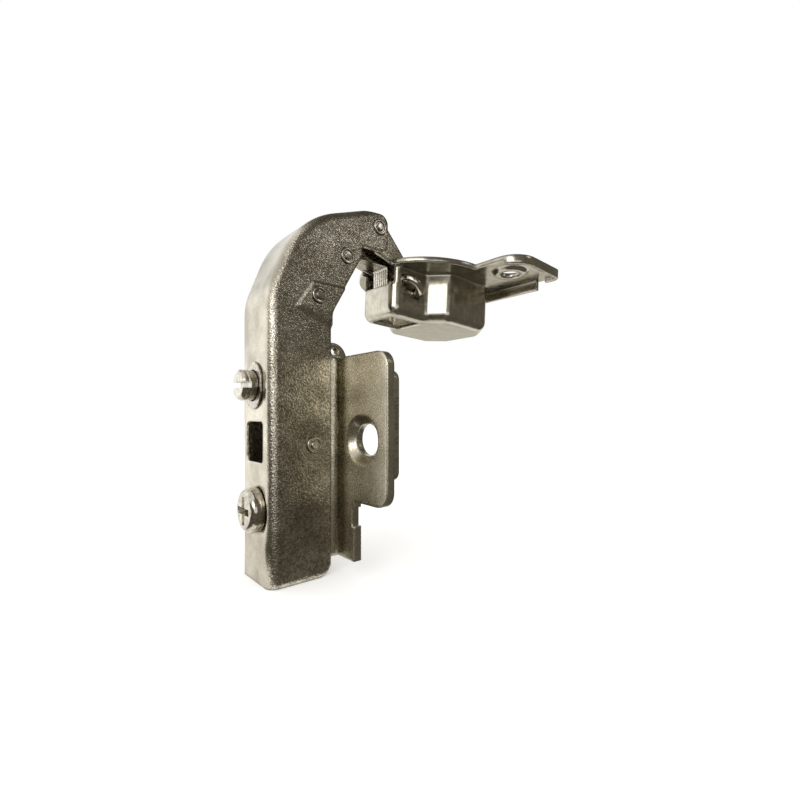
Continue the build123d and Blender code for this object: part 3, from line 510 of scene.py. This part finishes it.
class HINGE_OT_links(bpy.types.Operator):
    """Give the folded outer link and the leaves of the inner link their finish"""

    bl_idname = "hinge.links"
    bl_label = "Dress Links"

    def execute(self, context):
        sizes = context.scene.hinge_sizes
        tones = context.scene.hinge_colours
        folded = tumbled_nickel(
            "Tumbled Nickel Link", tones.arm_light, tones.arm_dark, sizes.arm_grain, speck=0.35, roughness=0.26,
            relief=0.6,
        )
        stamped = sheared_steel(
            "Stamped Leaf Steel", tones.leaf_light, tones.leaf_dark, roughness=0.22, relief=0.06
        )
        dress(["outer_link"], folded, sizes.edge_rounding)
        dress(LEAVES, stamped, sizes.leaf_rounding)
        return {"FINISHED"}


class HINGE_OT_rivets(bpy.types.Operator):
    """Give the rivets and the hairpin their bright turned finish"""

    bl_idname = "hinge.rivets"
    bl_label = "Dress Rivets"

    def execute(self, context):
        rounding = context.scene.hinge_sizes.edge_rounding / 2
        tones = context.scene.hinge_colours
        for name in (*RIVETS, "hairpin"):
            finish = turned_steel(
                f"Headed Steel {name}", tones.screw_light, tones.screw_dark, (math.pi / 2, 0, 0), box_centre(name),
                roughness=0.16,
            )
            dress([name], finish, rounding)
        return {"FINISHED"}


class HINGE_OT_screws(bpy.types.Operator):
    """Give the screws and the bush their turned finish, and cut the adjusting screw's thread"""

    bl_idname = "hinge.screws"
    bl_label = "Dress Screws"

    def execute(self, context):
        sizes = context.scene.hinge_sizes
        tones = context.scene.hinge_colours
        for name in ("fixing_screw", "adjusting_screw", "adjusting_bush"):
            finish = turned_steel(
                f"Turned Steel {name}", tones.screw_light, tones.screw_dark, (0, math.pi / 2, 0), box_centre(name),
                roughness=0.15,
            )
            dress([name], finish, sizes.edge_rounding)
        thread = thread_ridge(sizes)
        thread.data.materials.append(NODES["adjusting_screw"].data.materials[0])
        context.scene.collection.objects.link(thread)
        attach(thread, "adjusting_screw")
        return {"FINISHED"}


def thread_ridge(sizes):
    """Ridge of the adjusting screw's thread: a helix round the stud, open where the driver slot crosses it."""
    low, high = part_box("adjusting_screw")
    centre = box_centre("adjusting_screw")
    stud = (high[2] - low[2]) / 2
    bush_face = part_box("adjusting_bush")[0][0]
    half_width = sizes.thread_pitch * 0.36
    start = low[0] + 1.2 * half_width
    turns = (bush_face - start - 2 * half_width - sizes.thread_room) / sizes.thread_pitch
    steps = round(THREAD_STEPS_PER_TURN * turns)
    shape = bmesh.new()
    profile = [
        shape.verts.new((start + along, centre.y, centre.z + stud + rise))
        for along, rise in (
            (-half_width, -THREAD_SUNK), (-half_width / 6, sizes.thread_height),
            (half_width / 6, sizes.thread_height), (half_width, -THREAD_SUNK),
        )
    ]
    edges = [shape.edges.new((profile[i], profile[i - 1])) for i in range(len(profile))]
    bmesh.ops.spin(
        shape, geom=[*profile, *edges], cent=centre, axis=(1, 0, 0), angle=2 * math.pi * turns, steps=steps,
        dvec=(turns * sizes.thread_pitch / steps, 0, 0), use_duplicate=False,
    )
    slot_floor = low[0] + sizes.slot_depth
    for plane, normal in (
        ((slot_floor, 0, 0), (1, 0, 0)),
        ((0, 0, centre.z + sizes.slot_width / 2), (0, 0, 1)),
        ((0, 0, centre.z - sizes.slot_width / 2), (0, 0, 1)),
    ):
        geom = [*shape.verts, *shape.edges, *shape.faces]
        bmesh.ops.bisect_plane(shape, geom=geom, dist=1e-7, plane_co=plane, plane_no=normal)
    in_slot = []
    for face in shape.faces:
        middle = face.calc_center_median()
        if middle.x < slot_floor and abs(middle.z - centre.z) < sizes.slot_width / 2:
            in_slot.append(face)
    bmesh.ops.delete(shape, geom=in_slot, context="FACES")
    bmesh.ops.remove_doubles(shape, verts=shape.verts, dist=1e-7)
    bmesh.ops.holes_fill(shape, edges=[edge for edge in shape.edges if edge.is_boundary], sides=0)
    bmesh.ops.recalc_face_normals(shape, faces=shape.faces)
    mesh = bpy.data.meshes.new("adjusting_thread")
    shape.to_mesh(mesh)
    shape.free()
    return bpy.data.objects.new("adjusting_thread", mesh)


class HINGE_OT_spring(bpy.types.Operator):
    """Give the coil spring its oiled wire"""

    bl_idname = "hinge.spring"
    bl_label = "Dress Spring"

    def execute(self, context):
        tones = context.scene.hinge_colours
        finish = oiled_wire("Oiled Spring Wire", tones.wire_light, tones.wire_dark, roughness=0.3)
        dress(["spring"], finish, context.scene.hinge_sizes.edge_rounding)
        return {"FINISHED"}


class HINGE_OT_stage(bpy.types.Operator):
    """Set the pale floor, the dark cards, the soft lights and the camera"""

    bl_idname = "hinge.stage"
    bl_label = "Set Stage"

    def execute(self, context):
        scene = context.scene
        scene.view_settings.view_transform = "Standard"
        make_floor(scene)
        make_cards(scene)
        make_world(scene)
        make_lights(scene)
        make_camera(scene)
        return {"FINISHED"}


def seen_rays(tree):
    """Socket that is 1 for rays from the camera, off the metal or through glass, and 0 for all others."""
    rays = add_node(tree, "ShaderNodeLightPath").outputs
    mirrored = add_node(
        tree, "ShaderNodeMath", {0: rays["Is Glossy Ray"], 1: rays["Is Transmission Ray"]}, operation="MAXIMUM"
    ).outputs["Value"]
    return add_node(
        tree, "ShaderNodeMath", {0: rays["Is Camera Ray"], 1: mirrored}, operation="MAXIMUM"
    ).outputs["Value"]


def make_floor(scene):
    """Large pale floor just below the arm's foot: white to the camera and to the metal, and it takes the shadow."""
    mesh = bpy.data.meshes.new("floor")
    shape = bmesh.new()
    bmesh.ops.create_grid(shape, x_segments=1, y_segments=1, size=3.0)
    bmesh.ops.translate(shape, verts=shape.verts, vec=(0, 0, CAD_BOX[0][2] - FLOOR_GAP))
    shape.to_mesh(mesh)
    shape.free()
    floor = bpy.data.objects.new("floor", mesh)
    scene.collection.objects.link(floor)
    material, tree = start_material("Pale Studio Floor")
    seen = seen_rays(tree)
    glow = add_node(tree, "ShaderNodeMath", {0: seen, 1: FLOOR_GLOW}, operation="MULTIPLY").outputs["Value"]
    white = add_node(tree, "ShaderNodeEmission", {"Color": (1, 1, 1, 1), "Strength": glow}).outputs["Emission"]
    paper = add_node(tree, "ShaderNodeBsdfDiffuse", {"Color": srgb("#ecebe8")}).outputs["BSDF"]
    both = add_node(tree, "ShaderNodeAddShader", {0: white, 1: paper}).outputs["Shader"]
    add_node(tree, "ShaderNodeOutputMaterial", {"Surface": both})
    mesh.materials.append(material)


def make_cards(scene):
    """Cards that only the metal mirrors, standing and facing the hinge or lying on the floor; sizes in mm."""
    middle = Vector((5 * MM, 0, 12 * MM))
    floor = CAD_BOX[0][2] / MM + 0.5
    for name, place, width, height, tone, lying in (
        ("card_right", (135, -152, 36), 500, 500, "#6c685e", False),
        ("card_top", (125, -25, 240), 450, 450, "#66625a", False),
        ("card_left", (-250, -23, -38), 300, 190, "#4e4a41", False),
        ("card_over", (-75, -195, 165), 170, 170, "#7d796e", False),
        ("card_left_floor", (-150, -75, floor), 240, 190, "#625e54", True),
        ("card_front_floor", (140, -308, floor), 420, 600, "#625e54", True),
        ("card_back_floor", (820, 840, floor), 1600, 1600, "#dad6cc", True),
    ):
        place = Vector(place) * MM
        facing = Vector((0, 0, 1)) if lying else middle - place
        turn = facing.to_track_quat("Z", "Y").to_matrix().to_4x4()
        scale = Matrix.Diagonal((width / 2 * MM, height / 2 * MM, 1, 1))
        mesh = bpy.data.meshes.new(name)
        shape = bmesh.new()
        bmesh.ops.create_grid(shape, x_segments=1, y_segments=1, size=1.0)
        bmesh.ops.transform(shape, matrix=Matrix.Translation(place) @ turn @ scale, verts=shape.verts)
        shape.to_mesh(mesh)
        shape.free()
        material, tree = start_material(f"Grey Studio {name}")
        paper = add_node(tree, "ShaderNodeEmission", {"Color": srgb(tone)}).outputs["Emission"]
        add_node(tree, "ShaderNodeOutputMaterial", {"Surface": paper})
        mesh.materials.append(material)
        card = bpy.data.objects.new(name, mesh)
        card.visible_camera = False
        card.visible_shadow = False
        card.visible_diffuse = False
        scene.collection.objects.link(card)


def make_world(scene):
    """White backdrop to the camera and to the metal, soft grey fill to everything else."""
    world = bpy.data.worlds.new("studio")
    scene.world = world
    world.use_nodes = True
    tree = world.node_tree
    tree.nodes.clear()
    seen = seen_rays(tree)
    backdrop = add_node(tree, "ShaderNodeBackground", {"Color": (1, 1, 1, 1)}).outputs["Background"]
    fill = add_node(
        tree, "ShaderNodeBackground", {"Color": srgb("#d8d8d8"), "Strength": FILL_STRENGTH}
    ).outputs["Background"]
    mixed = add_node(tree, "ShaderNodeMixShader", {0: seen, 1: fill, 2: backdrop}).outputs["Shader"]
    add_node(tree, "ShaderNodeOutputWorld", {"Surface": mixed})


def make_lights(scene):
    """Soft boxes: behind to the left for the web, beside the camera for the bends, above for the floor's shadow,
    and a small one in front to the right that glints on the rivets.
    """
    middle = Vector((10 * MM, 0, 12 * MM))
    for name, place, size, power, mirrored in (
        ("back_left", (-260, 300, 90), 0.34, 0.15, True),
        ("camera_side", (-330, -190, 150), 0.20, 0.4, True),
        ("above", (60, -40, 380), 0.40, 0.12, False),
        ("glint", (89, -136, 122), 0.03, 0.009, True),
    ):
        lamp = bpy.data.lights.new(name, "AREA")
        lamp.size = size
        lamp.energy = power
        holder = bpy.data.objects.new(name, lamp)
        holder.location = Vector(place) * MM
        holder.rotation_euler = (middle - holder.location).to_track_quat("-Z", "Y").to_euler()
        holder.visible_glossy = mirrored
        scene.collection.objects.link(holder)


def make_camera(scene):
    """Camera at the photo's view: low, close and to the left of the near cheek."""
    camera = bpy.data.cameras.new("camera")
    camera.sensor_width = 36.0
    camera.lens = 19.447
    camera.shift_y = 0.0176
    camera.clip_start = 0.005
    holder = bpy.data.objects.new("camera", camera)
    holder.location = Vector((-54.73, -88.61, 5.46)) * MM
    holder.rotation_euler = (math.radians(89.92), 0, math.radians(-40.554))
    scene.collection.objects.link(holder)
    scene.camera = holder


OPERATORS = (
    HINGE_OT_arm, HINGE_OT_plate, HINGE_OT_cup, HINGE_OT_links, HINGE_OT_rivets, HINGE_OT_screws, HINGE_OT_spring,
    HINGE_OT_stage,
)


class HINGE_PT_panel(bpy.types.Panel):
    """Sidebar list of the hinge's steps"""

    bl_label = "Corner Hinge"
    bl_idname = "HINGE_PT_panel"
    bl_space_type = "VIEW_3D"
    bl_region_type = "UI"
    bl_category = "Hinge"

    def draw(self, context):
        for operator in OPERATORS:
            self.layout.operator(operator.bl_idname)


CLASSES = (HingeSizes, HingeColours, *OPERATORS, HINGE_PT_panel)


def register():
    """Register the classes and the scene's settings."""
    for cls in CLASSES:
        bpy.utils.register_class(cls)
    bpy.types.Scene.hinge_sizes = bpy.props.PointerProperty(type=HingeSizes)
    bpy.types.Scene.hinge_colours = bpy.props.PointerProperty(type=HingeColours)


def unregister():
    """Take the settings and classes out again."""
    del bpy.types.Scene.hinge_colours
    del bpy.types.Scene.hinge_sizes
    for cls in reversed(CLASSES):
        bpy.utils.unregister_class(cls)


def main():
    """Build everything in order."""
    register()
    bpy.ops.hinge.arm()
    bpy.ops.hinge.plate()
    bpy.ops.hinge.cup()
    bpy.ops.hinge.links()
    bpy.ops.hinge.rivets()
    bpy.ops.hinge.screws()
    bpy.ops.hinge.spring()
    bpy.ops.hinge.stage()


if __name__ == "__main__":
    main()
